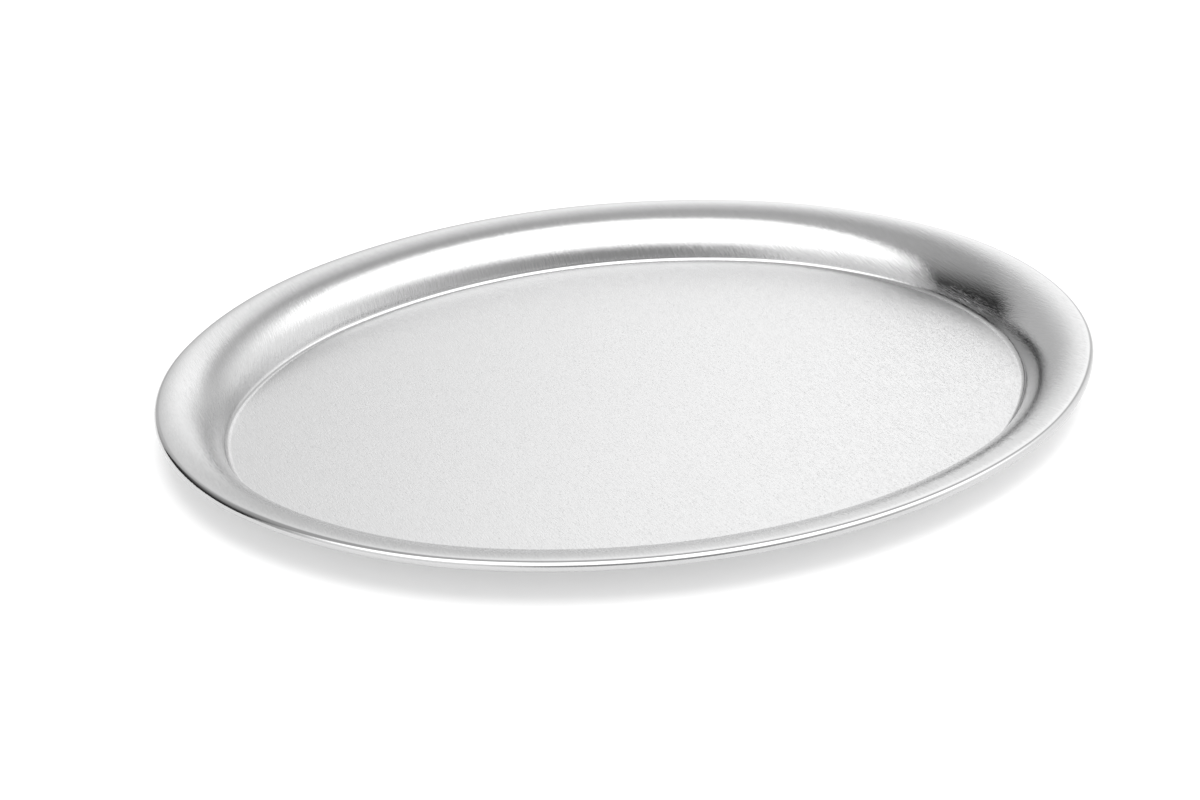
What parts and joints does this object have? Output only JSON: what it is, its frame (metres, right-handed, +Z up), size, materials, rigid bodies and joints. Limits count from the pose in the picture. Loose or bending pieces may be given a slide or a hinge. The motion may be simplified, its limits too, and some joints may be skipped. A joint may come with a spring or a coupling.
{
  "type": "serving tray",
  "caption": "Oval stainless steel serving tray with a flat well, a flared rim and an outer edge rolled round a wire hoop.",
  "frame": {"origin": "centre of the underside of the well, on the surface that the tray stands on", "axes": "+X along the tray's length, +Y across it, +Z up"},
  "size_m": [0.29, 0.22, 0.016],
  "materials": {
    "satin_steel": "satin stainless steel with fine short scratches",
    "wire_steel": "drawn steel wire, dull"
  },
  "bodies": {
    "root": {"tray_pan": "satin_steel", "rim_wire": "wire_steel"}
  },
  "joints": []
}
